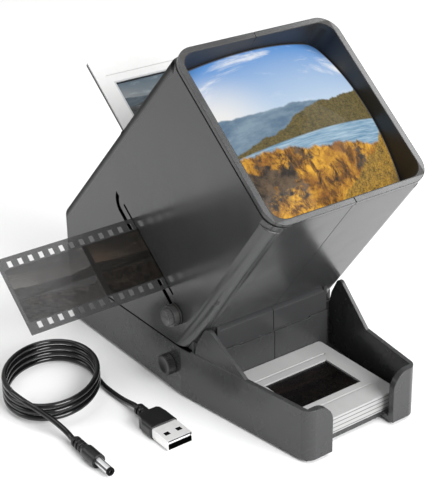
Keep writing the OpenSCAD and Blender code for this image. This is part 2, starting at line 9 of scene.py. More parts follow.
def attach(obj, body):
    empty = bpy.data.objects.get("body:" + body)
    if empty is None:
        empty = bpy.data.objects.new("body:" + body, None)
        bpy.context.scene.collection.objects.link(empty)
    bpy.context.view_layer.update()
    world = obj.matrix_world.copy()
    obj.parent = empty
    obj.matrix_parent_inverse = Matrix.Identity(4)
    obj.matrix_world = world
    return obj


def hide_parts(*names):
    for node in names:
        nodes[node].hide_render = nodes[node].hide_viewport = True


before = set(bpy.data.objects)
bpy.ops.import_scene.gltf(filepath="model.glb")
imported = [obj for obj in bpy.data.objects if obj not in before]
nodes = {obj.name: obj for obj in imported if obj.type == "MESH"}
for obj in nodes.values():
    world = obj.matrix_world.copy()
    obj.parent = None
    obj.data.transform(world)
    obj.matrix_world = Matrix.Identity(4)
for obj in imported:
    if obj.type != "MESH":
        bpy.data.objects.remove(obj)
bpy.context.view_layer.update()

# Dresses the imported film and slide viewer: camera, cable, a cover for one screw's hole, finishes,
# the pictures in the lens, on the film and in the slides, and plain studio light. Lengths are
# metres unless a name ends in _MM.
MM = 0.001

# ---- camera, fitted to the photograph ----
IMAGE_W, IMAGE_H = 435, 495
SENSOR_MM = 36
FOCAL_PX = 1326.25
CENTRE_PX = (258.93, 207.76)
CAMERA_AZ = math.radians(-37.716)
CAMERA_EL = math.radians(24.417)
CAMERA_ROLL = math.radians(-0.2765)
CAMERA_TARGET = Vector((0, 0, 0.08))
CAMERA_DISTANCE = 0.55934


def make_camera():
    """The camera that sees the part as the photograph does."""
    back = Vector((math.sin(CAMERA_AZ) * math.cos(CAMERA_EL),
                   -math.cos(CAMERA_AZ) * math.cos(CAMERA_EL), math.sin(CAMERA_EL)))
    level = Vector((math.cos(CAMERA_AZ), math.sin(CAMERA_AZ), 0))
    rise = back.cross(level)
    right = level * math.cos(CAMERA_ROLL) + rise * math.sin(CAMERA_ROLL)
    up = rise * math.cos(CAMERA_ROLL) - level * math.sin(CAMERA_ROLL)
    place = CAMERA_TARGET + back * CAMERA_DISTANCE
    data = bpy.data.cameras.new("view")
    longest = max(IMAGE_W, IMAGE_H)
    data.sensor_fit = "AUTO"
    data.sensor_width = SENSOR_MM
    data.lens = FOCAL_PX * SENSOR_MM / longest
    data.shift_x = (IMAGE_W / 2 - CENTRE_PX[0]) / longest
    data.shift_y = (CENTRE_PX[1] - IMAGE_H / 2) / longest
    data.clip_start = 0.01
    data.clip_end = 20
    camera = bpy.data.objects.new("view", data)
    camera.matrix_world = Matrix((
        (right.x, up.x, back.x, place.x), (right.y, up.y, back.y, place.y),
        (right.z, up.z, back.z, place.z), (0, 0, 0, 1)))
    bpy.context.scene.collection.objects.link(camera)
    bpy.context.scene.camera = camera


make_camera()

# ---- the cable's route, the same points as the part's source ----
CORD_D = 0.0024
COIL_X, COIL_Y = -0.0815, 0.042
COIL_A, COIL_B = 0.0255, 0.0198
COIL_PITCH = 0.0029
COIL_TURN = math.radians(37.72)
COIL_START, COIL_END, COIL_STEP = 30, 1305, 15
LIFT = 0.0001
USB_X, USB_Z = -0.0618, 0.00315
DC_X, DC_Z = -0.095, 0.0031
USB_END_Y, DC_END_Y = 0.0045, 0.0006
TIP_RING_Y = -0.0265
ACROSS = Vector((math.cos(COIL_TURN), -math.sin(COIL_TURN), 0))
ALONG = Vector((math.sin(COIL_TURN), math.cos(COIL_TURN), 0))


def loop(angle):
    """A point of the coil, by its angle in degrees."""
    t = math.radians(angle)
    height = CORD_D / 2 + LIFT + COIL_PITCH * (angle - COIL_START) / 360
    return (Vector((COIL_X, COIL_Y, height)) + COIL_B * math.cos(t) * ACROSS
            + COIL_A * math.sin(t) * ALONG)


def smooth(points, black_shade):
    """A Catmull-Rom curve through the points, each span cut into so many parts."""
    last = len(points) - 1
    out = []
    for i in range(last):
        a, b = points[max(i - 1, 0)], points[i]
        c, d = points[i + 1], points[min(i + 2, last)]
        for s in range(black_shade):
            t = s / black_shade
            out.append(b + (c - a) * t / 2 + (2 * a - 5 * b + 4 * c - d) * t * t / 2
                       + (3 * b - a - 3 * c + d) * t ** 3 / 2)
    return out + [points[last]]


def cable_route():
    """The whole cable, from the large plug round the coil to the round plug."""
    start, end = loop(COIL_START), loop(COIL_END)
    head_a = (start - loop(COIL_START + 1)).normalized()
    head_b = (end - loop(COIL_END - 1)).normalized()
    usb = [start, start + CORD_D * head_a, Vector((-0.0622, 0.031, 0.0013)),
           Vector((-0.0623, 0.022, 0.0014)), Vector((-0.0621, 0.0145, 0.0019)),
           Vector((-0.0619, 0.0093, 0.00275)), Vector((USB_X, 0.0069, USB_Z - 0.00005)),
           Vector((USB_X, USB_END_Y, USB_Z))]
    dc = [end, end + CORD_D * head_b, Vector((-0.1026, 0.026, 0.0112)),
          Vector((-0.0998, 0.0185, 0.0094)), Vector((-0.097, 0.012, 0.0066)),
          Vector((-0.0953, 0.0065, 0.0042)), Vector((DC_X, 0.003, DC_Z + 0.00005)),
          Vector((DC_X, DC_END_Y, DC_Z))]
    coil = [loop(a) for a in range(COIL_START + COIL_STEP, COIL_END, COIL_STEP)]
    return smooth(usb, 2)[::-1] + coil + smooth(dc, 2)


def bezier_tube(name, points, radius):
    """A round tube on one smooth open spline through the points."""
    data = bpy.data.curves.new(name, "CURVE")
    data.dimensions = "3D"
    # the box of a curve grows by its points' radius, so the radius is on them
    data.bevel_depth = 1.0
    data.bevel_resolution = 5
    data.resolution_u = 4
    data.use_fill_caps = True
    spline = data.splines.new("BEZIER")
    spline.bezier_points.add(len(points) - 1)
    last = len(points) - 1
    for i, (knot, p) in enumerate(zip(spline.bezier_points, points)):
        side = (points[min(i + 1, last)] - points[max(i - 1, 0)]) / 6
        knot.co = p
        knot.radius = radius
        knot.handle_left_type = knot.handle_right_type = "FREE"
        knot.handle_left, knot.handle_right = p - side, p + side
    piece = bpy.data.objects.new(name, data)
    bpy.context.scene.collection.objects.link(piece)
    return piece


def make_cable():
    """The free cable that runs to its two plugs, in place of its plain solids."""
    route = cable_route()
    cable = bezier_tube("cable", route, CORD_D / 2)
    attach(cable, "housing")
    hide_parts("cable_coil", "usb_lead", "dc_lead")
    return cable


cable = make_cable()

# ---- cover in the front screw's hole, flush with the tray's right wall ----
SCREW_Y, SCREW_Z = -0.005, 0.0125
HOLE_R, HOLE_SIDES = 0.00305, 40
BASE_HALF_W, TRAY_WALL = 0.0395, 0.002
TAPER_Y, TAPER_SLOPE = 0.004, math.tan(math.radians(8.03))
BLOCK_FRONT_Y = -0.00443
COVER_T = 0.0018
TONGUE_X, TONGUE_SIDES = 0.03, 14


def wall_inside(y):
    """How far across the inner face of the tray's right wall lies, at a place along it."""
    return BASE_HALF_W - TRAY_WALL - (TAPER_Y - y) * TAPER_SLOPE


def add_prism(shape, outline, start, end):
    """A solid between two places across, which may change along the outline's points."""
    near = [shape.verts.new((start(y), y, z)) for y, z in outline]
    away = [shape.verts.new((end(y), y, z)) for y, z in outline]
    shape.faces.new(near)
    shape.faces.new(away[::-1])
    for i in range(len(outline)):
        j = (i + 1) % len(outline)
        shape.faces.new((near[j], near[i], away[i], away[j]))


def make_screw_cover():
    """A plug that closes the hole in the wall, with a tongue that lies in the block's face."""
    turns = [math.tau * i / HOLE_SIDES for i in range(HOLE_SIDES)]
    ring = [(SCREW_Y + HOLE_R * math.cos(t), SCREW_Z + HOLE_R * math.sin(t)) for t in turns]
    rear = [p for p in ring[-TONGUE_SIDES:] + ring[:TONGUE_SIDES] if p[0] > BLOCK_FRONT_Y]
    shape = bmesh.new()
    add_prism(shape, ring, lambda y: wall_inside(y) + 0.05 * MM, lambda y: wall_inside(y) + COVER_T)
    add_prism(shape, rear, lambda y: TONGUE_X, lambda y: wall_inside(y) + 0.3 * MM)
    bmesh.ops.recalc_face_normals(shape, faces=shape.faces)
    mesh = bpy.data.meshes.new("screw_cover")
    shape.to_mesh(mesh)
    shape.free()
    cover = bpy.data.objects.new("screw_cover", mesh)
    bpy.context.scene.collection.objects.link(cover)
    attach(cover, "housing")
    return cover


cover = make_screw_cover()


# ---- a small builder for node materials ----
class Graph:
    """The nodes of one material."""

    def __init__(self, name):
        self.material = bpy.data.materials.new(name)
        self.material.use_nodes = True
        self.tree = self.material.node_tree
        self.tree.nodes.clear()
        self.output = self.tree.nodes.new("ShaderNodeOutputMaterial")
        self.shader = self.tree.nodes.new("ShaderNodeBsdfPrincipled")
        self.tree.links.new(self.shader.outputs[0], self.output.inputs["Surface"])
        self.place = self.tree.nodes.new("ShaderNodeTexCoord").outputs["Object"]

    def put(self, value, socket):
        """Links an output to a socket, or sets the socket to a plain value."""
        if isinstance(value, bpy.types.NodeSocket):
            self.tree.links.new(value, socket)
        elif socket.type == "RGBA" and len(value) == 3:
            socket.default_value = (*value, 1)
        else:
            socket.default_value = value

    def set(self, **values):
        """Sets or links inputs of the shader; spaces in their names are written _."""
        for key, value in values.items():
            self.put(value, self.shader.inputs[key.replace("_", " ")])

    def math(self, operation, *values):
        node = self.tree.nodes.new("ShaderNodeMath")
        node.operation = operation
        for socket, value in zip(node.inputs, values):
            self.put(value, socket)
        return node.outputs[0]

    def add(self, a, b):
        return self.math("ADD", a, b)

    def less(self, a, b):
        return self.math("SUBTRACT", a, b)

    def over(self, a, b):
        return self.math("DIVIDE", a, b)

    def size(self, a):
        """The value without its sign."""
        return self.math("ABSOLUTE", a)

    def scaled(self, a, factor, start):
        """start + a * factor."""
        return self.math("MULTIPLY_ADD", a, factor, start)

    def times(self, *values):
        """The product of the values."""
        return reduce(lambda a, b: self.math("MULTIPLY", a, b), values)

    def most(self, *values):
        """The greatest of the values."""
        return reduce(lambda a, b: self.math("MAXIMUM", a, b), values)

    def away(self, value, middle):
        """How far the value lies from the middle."""
        return self.size(self.less(value, middle))

    def distance(self, a, b, at_a, at_b):
        """How far the point a, b lies from another."""
        return self.math("SQRT", self.add(self.math("POWER", self.less(a, at_a), 2.0),
                                          self.math("POWER", self.less(b, at_b), 2.0)))

    def xyz(self, vector):
        """The three parts of a vector."""
        node = self.tree.nodes.new("ShaderNodeSeparateXYZ")
        self.put(vector, node.inputs[0])
        return node.outputs[:]

    def join(self, x, y, z):
        """A vector of three parts."""
        node = self.tree.nodes.new("ShaderNodeCombineXYZ")
        for socket, value in zip(node.inputs, (x, y, z)):
            self.put(value, socket)
        return node.outputs[0]

    def inverse(self, vector, location=(0, 0, 0), rotation=(0, 0, 0), scale=(1, 1, 1)):
        """The vector as seen from a frame with that place, turn and scale."""
        node = self.tree.nodes.new("ShaderNodeMapping")
        node.vector_type = "TEXTURE"
        self.put(vector, node.inputs["Vector"])
        node.inputs["Location"].default_value = location
        node.inputs["Rotation"].default_value = rotation
        node.inputs["Scale"].default_value = scale
        return node.outputs[0]

    def noise(self, vector, scale, detail=2.0, roughness=0.5, distortion=0.0):
        node = self.tree.nodes.new("ShaderNodeTexNoise")
        self.put(vector, node.inputs["Vector"])
        node.inputs["Scale"].default_value = scale
        node.inputs["Detail"].default_value = detail
        node.inputs["Roughness"].default_value = roughness
        node.inputs["Distortion"].default_value = distortion
        return node.outputs["Fac"]

    def cells(self, vector, scale):
        """Distance to the nearest of scattered points."""
        node = self.tree.nodes.new("ShaderNodeTexVoronoi")
        self.put(vector, node.inputs["Vector"])
        node.inputs["Scale"].default_value = scale
        return node.outputs["Distance"]

    def remap(self, value, low, high, to_low=0.0, to_high=1.0, soft=False):
        """Moves a range to another, held within it."""
        node = self.tree.nodes.new("ShaderNodeMapRange")
        node.interpolation_type = "SMOOTHSTEP" if soft else "LINEAR"
        for key, v in (("Value", value), ("From Min", low), ("From Max", high),
                       ("To Min", to_low), ("To Max", to_high)):
            self.put(v, node.inputs[key])
        return node.outputs["Result"]

    def mix(self, share, a, b):
        """Colour a where share is 0, b where it is 1."""
        node = self.tree.nodes.new("ShaderNodeMix")
        node.data_type = "RGBA"
        colours = [s for s in node.inputs if s.type == "RGBA"]
        self.put(share, node.inputs[0])
        self.put(a, colours[0])
        self.put(b, colours[1])
        return next(s for s in node.outputs if s.type == "RGBA")

    def relief(self, *layers, rounding=0.0):
        """Gives the shader a bumpy normal. Each layer is a height, its strength and its depth."""
        normal = None
        if rounding:
            bevel = self.tree.nodes.new("ShaderNodeBevel")
            bevel.samples = 4
            bevel.inputs["Radius"].default_value = rounding
            normal = bevel.outputs[0]
        for height, strength, depth in layers:
            bump = self.tree.nodes.new("ShaderNodeBump")
            bump.inputs["Strength"].default_value = strength
            bump.inputs["Distance"].default_value = depth
            self.put(height, bump.inputs["Height"])
            if normal is not None:
                self.put(normal, bump.inputs["Normal"])
            normal = bump.outputs[0]
        self.put(normal, self.shader.inputs["Normal"])


def srgb(r, g, b):
    """A colour given as a screen shows it, 0 to 255, in the linear units of a shader."""
    return tuple((c / 255 / 12.92) if c < 10 else ((c / 255 + 0.055) / 1.055) ** 2.4
                 for c in (r, g, b))


# ---- places on the part, for the masks and pictures ----
# the gate frame has the film plane's own axes: x across, v up the film and n towards the eye
GATE_Z = 0.04875
GATE_TILT = math.radians(39.1)
AXIS_V = 0.0288
LENS_HW, LENS_HH = 0.0376, 0.0387
HOOD_N, RIM_N = 0.05, 0.0783
# the standing slide, and those in the tray
MOUNT_SIZE = 0.0508
SLIDE_X, SLIDE_N = 0.0024, -0.0033
SLIDE_MID_V = 0.1228 - MOUNT_SIZE / 2
SLIDE_WIN_W, SLIDE_WIN_H = 0.0342, 0.0229
SLIDE_T = 0.0019
TRAY_FLOOR, TRAY_MID_Y, TRAY_SLIDES = 0.0038, -0.0365, 4
# the slots in the head's sides, with the half widths of the painted shade that blackens them
SLIT_LOW, SLIT_HIGH = 0.0056, 0.0514
FILM_N, FILM_CUT = -0.00465, 0.00065
LEVER_N, LEVER_V, LEVER_CUT = -0.00955, -0.0012, 0.00135
HOOK_R = 0.006
# the line between head and base, with the height and front end of the painted shadow along it
BASE_TOP, SEAM_H, SEAM_FRONT_Y = 0.0255, 0.00125, -0.0024
# the head's rear top corner, the slope of its upper face, and how far out its sides count as such
REAR_Y, REAR_Z = 0.0979, 0.055
TOP_SIN, TOP_COS = 0.722, 0.692
HEAD_SIDE_X = 0.037
# where the painted shade along those edges is full, where it is gone, and how dark it grows
EDGE_NEAR, EDGE_FAR, EDGE_DEPTH = 0.0018, 0.0054, 0.85
# where the lever knob's barrel and cap begin, and the light knob's foot ends
LEVER_BARREL_X, LEVER_CAP_X, KNOB_FOOT_X = 0.0417, 0.044, 0.0412
# the strip of film
FILM_V = 0.0267
FRAME_PITCH, FRAME_W, FRAME_H = 0.038, 0.036, 0.0244
FIRST_FRAME_X = -0.0855

# the black of painted shade in slots, gaps and hollows, of painted dark reflections on the round
# plug, and of its end ring; and the tone of duller painted shade
BLACK_TONE = (0.002, 0.002, 0.002)
SHADE_TONE = (0.015, 0.014, 0.013)


def in_gate(g):
    """The place in the gate frame."""
    return g.inverse(g.place, location=(0, 0, GATE_Z), rotation=(GATE_TILT, 0, 0))


# ---- masks ----
def below(g, value, limit, soft):
    """1 up to the limit, falling to 0 over the soft stretch behind it."""
    return g.remap(value, limit, limit + soft, 1.0, 0.0)


def beyond(g, value, limit, soft):
    """0 up to the limit, rising to 1 over the soft stretch behind it."""
    return g.remap(value, limit, limit + soft)


def within(g, value, middle, half):
    """1 where the value lies within half of the middle, 0 elsewhere."""
    return below(g, g.away(value, middle), half, 0.03 * MM)


def between(g, value, low, high, more):
    """1 where the value lies between low and high, or up to that much more past them."""
    return within(g, value, (low + high) / 2, (high - low) / 2 + more)


def hood(g):
    """Painted shade: 1 on the inner walls of the hood round the lens, 0 elsewhere."""
    x, v, n = g.xyz(in_gate(g))
    across = below(g, g.size(x), LENS_HW + 0.2 * MM, 0.3 * MM)
    along = below(g, g.away(v, AXIS_V), LENS_HH + 0.2 * MM, 0.3 * MM)
    return g.times(across, along, beyond(g, n, HOOD_N, 5 * MM))


def seam_shadow(g):
    """Painted shadow: 1 along the line between the base and the head, painted wider than its groove,
    0 elsewhere.
    """
    _, y, z = g.xyz(g.place)
    band = within(g, z, BASE_TOP - SEAM_H / 2, SEAM_H / 2)
    return g.times(band, beyond(g, y, SEAM_FRONT_Y, 0.1 * MM))


def edge_shade(g):
    """Painted shade: grows to EDGE_DEPTH towards the upper and rear edges of the head's sides, but
    for its rim.
    """
    x, y, z = g.xyz(g.place)
    below_rim = below(g, g.xyz(in_gate(g))[2], RIM_N - 0.1 * MM, 0.2 * MM)
    from_rear = g.less(REAR_Y, y)
    from_top = g.add(g.times(from_rear, TOP_SIN), g.times(g.less(REAR_Z, z), TOP_COS))
    nearest = g.math("MINIMUM", from_top, from_rear)
    band = g.remap(nearest, EDGE_NEAR, EDGE_FAR, EDGE_DEPTH, 0.0, soft=True)
    side = beyond(g, g.size(x), HEAD_SIDE_X - 3 * MM, 3 * MM)
    return g.times(band, side, below_rim)


def head_painted_shade(g):
    """Painted shade: 1 in the slots of the head's sides and along its lower edge, less along its
    other edges.
    """
    x, v, n = g.xyz(in_gate(g))
    film_slot = g.times(within(g, n, FILM_N, FILM_CUT),
                        between(g, v, SLIT_LOW, SLIT_HIGH, 0.03 * MM))
    run = g.times(within(g, n, LEVER_N, LEVER_CUT),
                  between(g, v, LEVER_V, SLIT_HIGH, 1.1 * MM))
    from_centre = g.distance(v, n, SLIT_HIGH, LEVER_N + HOOK_R)
    hook = g.times(within(g, from_centre, HOOK_R, LEVER_CUT),
                   beyond(g, v, SLIT_HIGH - 0.1 * MM, 0.1 * MM),
                   below(g, n, LEVER_N + 4.6 * MM, 0.1 * MM))
    lower_edge = g.times(beyond(g, g.size(x), HEAD_SIDE_X, 0.2 * MM),
                         below(g, g.xyz(g.place)[2], BASE_TOP + 0.15 * MM, 0.05 * MM))
    return g.most(film_slot, run, hook, lower_edge, edge_shade(g))


def lever_shade(g):
    """Painted shade: 1 on the lever's collar by the housing, part of it on the barrel, 0 on the cap.
    """
    out = g.xyz(g.place)[0]
    collar = beyond(g, out, -LEVER_BARREL_X, 0.05 * MM)
    barrel = g.remap(out, -LEVER_CAP_X, -LEVER_CAP_X + 0.05 * MM, 0.0, 0.65)
    return g.most(collar, barrel)


def knob_foot_shade(g):
    """Painted shade: 1 on the foot of the light knob, 0 on the rest of it."""
    return beyond(g, g.xyz(g.place)[0], -KNOB_FOOT_X, 0.4 * MM)


def shell_inside_shade(g):
    """Painted shade: 1 in the large plug's opening and its two holes, but for a pale tongue, 0
    elsewhere.
    """
    x, _, z = g.xyz(g.place)
    under = within(g, z, USB_Z - 0.95 * MM, 1.05 * MM)
    above = within(g, z, USB_Z + 1.6 * MM, 0.6 * MM)
    return g.times(within(g, x, USB_X, 5.7 * MM), g.most(under, above))


def tip_ring_and_reflections(g):
    """1 on the dark ring that ends the round plug, partly on two streaks along it, which are painted
    dark reflections.
    """
    x, y, _ = g.xyz(g.place)
    ring = below(g, y, TIP_RING_Y - 0.1 * MM, 0.1 * MM)
    streak = within(g, x, DC_X + 0.75 * MM, 0.28 * MM)
    other = within(g, x, DC_X - 1.45 * MM, 0.22 * MM)
    return g.most(ring, g.times(g.most(streak, other), 0.8))


def back_half_shade(g):
    """Painted shade: 0 on the front half of the standing mount, 1 on its back half, painted darker
    so that its edge reads as shaded.
    """
    return below(g, g.xyz(in_gate(g))[2], SLIDE_N + 0.3 * MM, 0.08 * MM)


def window_edge_shade(g):
    """Painted shade: 1 on the sloped edge round the standing mount's window, 0 elsewhere."""
    x, v, _ = g.xyz(in_gate(g))
    across = g.less(g.away(x, SLIDE_X), SLIDE_WIN_W / 2)
    along = g.less(g.away(v, SLIDE_MID_V), SLIDE_WIN_H / 2)
    return below(g, g.most(across, along), 0.75 * MM, 0.1 * MM)


def joint_lines(g):
    """1 along the fine line where the halves of each mount in the tray meet, 0 elsewhere."""
    level = g.math("FRACT", g.over(g.less(g.xyz(g.place)[2], TRAY_FLOOR), SLIDE_T))
    return below(g, g.away(level, 0.42), 0.08, 0.08)


# ---- plain finishes ----
def moulded(name, dark, light, rough, grain=0.02 * MM, rounding=0.25 * MM, specular=0.5,
            shaded=None, black_shade=None):
    """Satin moulded plastic: slow shifts of tone and gloss, a fine grain, softened edges.

    shaded gives 1 where painted shade makes the plastic darker and duller, and the last argument
    gives 1 where painted shade turns it black.
    """
    g = Graph(name)
    drift = g.noise(g.place, 28, 3, 0.5)
    speck = g.noise(g.place, 2600, 2, 0.6)
    tone = g.scaled(speck, 0.25, g.times(drift, 0.75))
    colour = g.mix(g.remap(tone, 0.3, 0.7), dark, light)
    swirl = g.noise(g.place, 90, 4, 0.55)
    gloss = g.remap(swirl, 0.25, 0.75, rough - 0.04, rough + 0.05)
    if shaded:
        # painted shade: darker and duller
        inner = shaded(g)
        colour = g.mix(inner, colour, SHADE_TONE)
        gloss = g.scaled(inner, 0.3, gloss)
    if black_shade:
        # painted shade: black and metallic, so it reflects nothing
        black_share = black_shade(g)
        colour = g.mix(black_share, colour, BLACK_TONE)
        gloss = g.scaled(black_share, 0.5, gloss)
        g.set(Metallic=black_share)
    g.set(Base_Color=colour, Roughness=gloss, Specular_IOR_Level=specular)
    orange = g.noise(g.place, 420, 3, 0.5)
    g.relief((orange, 0.05, 0.05 * MM), (speck, 0.25, grain), rounding=rounding)
    return g.material


def rubbery(name, dark, light, rough, sheen=0.08, skin_strength=0.35):
    """Soft black: faint mottling and a fine skin."""
    g = Graph(name)
    mottle = g.noise(g.place, 160, 4, 0.6)
    skin = g.noise(g.place, 3200, 2, 0.6)
    g.set(Base_Color=g.mix(g.remap(mottle, 0.3, 0.7), dark, light))
    g.set(Roughness=g.remap(mottle, 0.2, 0.8, rough - 0.06, rough + 0.06))
    g.set(Sheen_Weight=sheen)
    g.relief((mottle, 0.4 * skin_strength, 0.05 * MM), (skin, skin_strength, 0.03 * MM),
             rounding=0.15 * MM)
    return g.material


def plated(name, tone, dark_shade_and_reflection=None, metallic=0.8):
    """Bright plated metal with fine drawn lines along y, black where asked: painted shade in
    hollows, painted dark reflections, and a dark ring.
    """
    g = Graph(name)
    lines = g.noise(g.inverse(g.place, scale=(1, 8, 1)), 900, 4, 0.6)
    cloud = g.noise(g.place, 200, 3, 0.5)
    colour = g.mix(cloud, tuple(0.86 * c for c in tone), tone)
    if dark_shade_and_reflection:
        colour = g.mix(dark_shade_and_reflection(g), colour, BLACK_TONE)
    g.set(Base_Color=colour, Metallic=metallic)
    g.set(Roughness=g.remap(lines, 0.2, 0.8, 0.4, 0.55))
    g.relief((lines, 0.1, 0.01 * MM), rounding=0.12 * MM)
    return g.material


def opal(name):
    """Translucent white plastic that spreads the light."""
    g = Graph(name)
    milk = g.noise(g.place, 120, 3, 0.5)
    skin = g.noise(g.place, 1800, 2, 0.5)
    g.set(Base_Color=g.mix(milk, (0.82, 0.82, 0.79), (0.92, 0.92, 0.9)))
    g.set(Roughness=g.remap(milk, 0.2, 0.8, 0.4, 0.55))
    g.set(Subsurface_Weight=0.25, Subsurface_Radius=(0.002, 0.002, 0.002))
    g.relief((skin, 0.2, 0.02 * MM))
    return g.material


def board(name):
    """Green circuit board with paler tracks and bare pads."""
    g = Graph(name)
    tracks = g.noise(g.inverse(g.place, scale=(1, 4, 1)), 260, 0, 0.5)
    band = g.away(g.math("FRACT", g.times(tracks, 9)), 0.5)
    pads = g.cells(g.place, 380)
    green = g.mix(g.remap(band, 0.1, 0.16), (0.05, 0.22, 0.09), (0.02, 0.1, 0.04))
    g.set(Base_Color=g.mix(g.remap(pads, 0.14, 0.18), (0.62, 0.5, 0.3), green))
    g.set(Roughness=g.remap(pads, 0.14, 0.2, 0.25, 0.42))
    g.relief((band, 0.3, 0.03 * MM))
    return g.material


def card(name, dark, light, pattern, second, edge=None, edge_shade_tone=None):
    """Slide mount: faintly fibrous, softly rounded, with a second tone where pattern is 1, and
    painted shade where edge is 1.
    """
    g = Graph(name)
    fibre = g.noise(g.inverse(g.place, scale=(1, 3, 1)), 500, 5, 0.6)
    cloud = g.noise(g.place, 40, 3, 0.5)
    colour = g.mix(g.scaled(fibre, 0.4, g.times(cloud, 0.6)), dark, light)
    if edge:
        colour = g.mix(edge(g), colour, edge_shade_tone)
    g.set(Base_Color=g.mix(pattern(g), colour, second))
    g.set(Roughness=g.remap(fibre, 0.2, 0.8, 0.42, 0.56))
    g.relief((fibre, 0.1, 0.02 * MM), rounding=0.2 * MM)
    return g.material


# ---- generic landscapes ----
# each skyline: seed, base, slope, size, pitch, softness, detail and jaggedness
HILL_LINE = (3.1, 0.16, -0.1, 0.16, 1.3, 0.012, 5.0, 0.55)
TREE_LINE = (7.7, 0.03, 0.24, 0.13, 1.9, 0.012, 8.0, 0.62)
SHORE_LINE = (1.4, -0.17, 0.02, 0.01, 1.0, 0.01, 5.0, 0.55)
FIELD_LINE = (5.2, -0.3, -0.16, 0.16, 2.4, 0.02, 9.0, 0.66)
BUSH_LINE = (9.9, -0.92, 0.62, 0.2, 2.2, 0.02, 9.0, 0.68)


def ridge(g, u, w, seed, base, slope, size, pitch, soft, detail, jag):
    """1 above a rolling skyline and 0 under it. The skyline is base + slope u, size either way."""
    wave = g.noise(g.join(g.times(u, pitch), seed, 0.0), 1.0, detail, jag)
    line = g.scaled(g.less(wave, 0.5), 2 * size, g.scaled(u, slope, base))
    return g.remap(g.less(w, line), -soft, soft, soft=True)


def sky(g, u, w, seed, low, high, cloud, glow):
    """Paler towards the ground, with a glow on the left and drifting cloud."""
    air = g.mix(g.remap(w, 0.0, 1.05), low, high)
    from_sun = g.distance(u, w, -0.95, 0.15)
    air = g.mix(g.remap(from_sun, 0.1, 0.85, 0.85, 0.0, soft=True), air, glow)
    puffs = g.noise(g.join(g.times(u, 0.9), g.times(w, 2.4), seed), 1.5, 7, 0.58, 0.4)
    return g.mix(g.remap(puffs, 0.5, 0.72, 0.0, 0.85, soft=True), air, cloud)


def meadow(g, u, w, seed, patch, grass, stone, calm):
    """Leaning blades of grass with lighter patches, and bare stony ground between."""
    dark, mid, light = grass
    lean = g.scaled(u, 1.4, g.times(w, 5.5))
    blades = g.noise(g.join(g.times(u, 9.0), lean, seed), 1.0, 9, 0.74, 0.5)
    low = g.mix(g.remap(blades, 0.36, 0.54), dark, mid)
    lit = g.times(g.remap(blades, 0.44, 0.6), g.remap(patch, 0.4, 0.56))
    green = g.mix(g.times(lit, calm), low, light)
    grit = g.noise(g.join(u, w, seed), 7, 9, 0.72)
    stones = g.mix(g.remap(grit, 0.4, 0.62), *stone)
    bare = g.scaled(u, -0.1, g.noise(g.join(u, w, g.add(seed, 5.5)), 1.7, 7, 0.6))
    return g.mix(g.remap(bare, 0.56, 0.6), green, stones)


def landscape(g, u, w, seed, tones, calm=1.0):
    """Sky with drifting cloud, far hills, a wooded slope, still water and a meadow.

    u and w run from -1 to 1 across and up. tones are the colours of these in order, each from
    dark to light. seed picks another place, and may itself come from a node.
    """
    air, hills, trees, lake, grass, stone = tones
    flat = g.join(u, w, seed)
    colour = sky(g, u, w, seed, *air)

    haze = g.noise(g.join(g.times(u, 2.0), g.times(w, 5.0), seed), 2.0, 6, 0.6)
    far = g.mix(g.remap(haze, 0.35, 0.65), *hills)
    colour = g.mix(ridge(g, u, w, *HILL_LINE), far, colour)

    crowns = g.cells(g.join(u, g.times(w, 1.5), seed), 38)
    leaf = g.noise(flat, 16, 8, 0.74)
    shade = g.scaled(leaf, 0.8, g.times(crowns, -0.3))
    wood = g.mix(g.remap(shade, -0.05, 0.4), *trees)
    colour = g.mix(ridge(g, u, w, *TREE_LINE), wood, colour)

    ripple = g.noise(g.join(g.times(u, 2.0), g.times(w, 26.0), seed), 2.0, 4, 0.6)
    water = g.mix(g.remap(ripple, 0.3, 0.7), *lake)
    colour = g.mix(ridge(g, u, w, *SHORE_LINE), water, colour)

    patch = g.noise(flat, 2.6, 5, 0.62)
    field = meadow(g, u, w, seed, patch, grass, stone, calm)
    colour = g.mix(ridge(g, u, w, *FIELD_LINE), field, colour)

    leaves = g.mix(patch, trees[1], grass[2])
    bushes = g.mix(g.remap(shade, 0.0, 0.42), trees[0], leaves)
    return g.mix(ridge(g, u, w, *BUSH_LINE), bushes, colour)


# each set of tones: sky (low, high, cloud, glow), hills, trees, water, grass and stones
BRIGHT_TONES = (
    (srgb(206, 224, 240), srgb(70, 140, 214), srgb(250, 251, 252), srgb(253, 248, 240)),
    (srgb(92, 118, 142), srgb(134, 156, 172)),
    (srgb(30, 34, 16), srgb(120, 104, 54)),
    (srgb(96, 140, 172), srgb(178, 204, 220)),
    (srgb(48, 38, 14), srgb(156, 100, 30), srgb(248, 186, 56)),
    (srgb(46, 36, 26), srgb(112, 92, 70)),
)
DIM_TONES = (
    (srgb(104, 112, 116), srgb(60, 76, 88), srgb(124, 134, 138), srgb(108, 112, 116)),
    (srgb(46, 58, 68), srgb(66, 78, 86)),
    (srgb(18, 24, 28), srgb(52, 58, 56)),
    (srgb(48, 64, 78), srgb(84, 98, 108)),
    (srgb(18, 22, 24), srgb(46, 50, 48), srgb(78, 78, 70)),
    (srgb(24, 28, 32), srgb(58, 62, 64)),
)
NIGHT_TONES = (
    (srgb(16, 12, 11), srgb(8, 7, 7), srgb(24, 18, 16), srgb(22, 16, 14)),
    (srgb(7, 6, 6), srgb(12, 9, 9)),
    (srgb(3, 3, 3), srgb(11, 8, 7)),
    (srgb(8, 6, 6), srgb(16, 13, 12)),
    (srgb(3, 3, 3), srgb(10, 8, 7), srgb(20, 15, 12)),
    (srgb(4, 4, 4), srgb(12, 10, 9)),
)
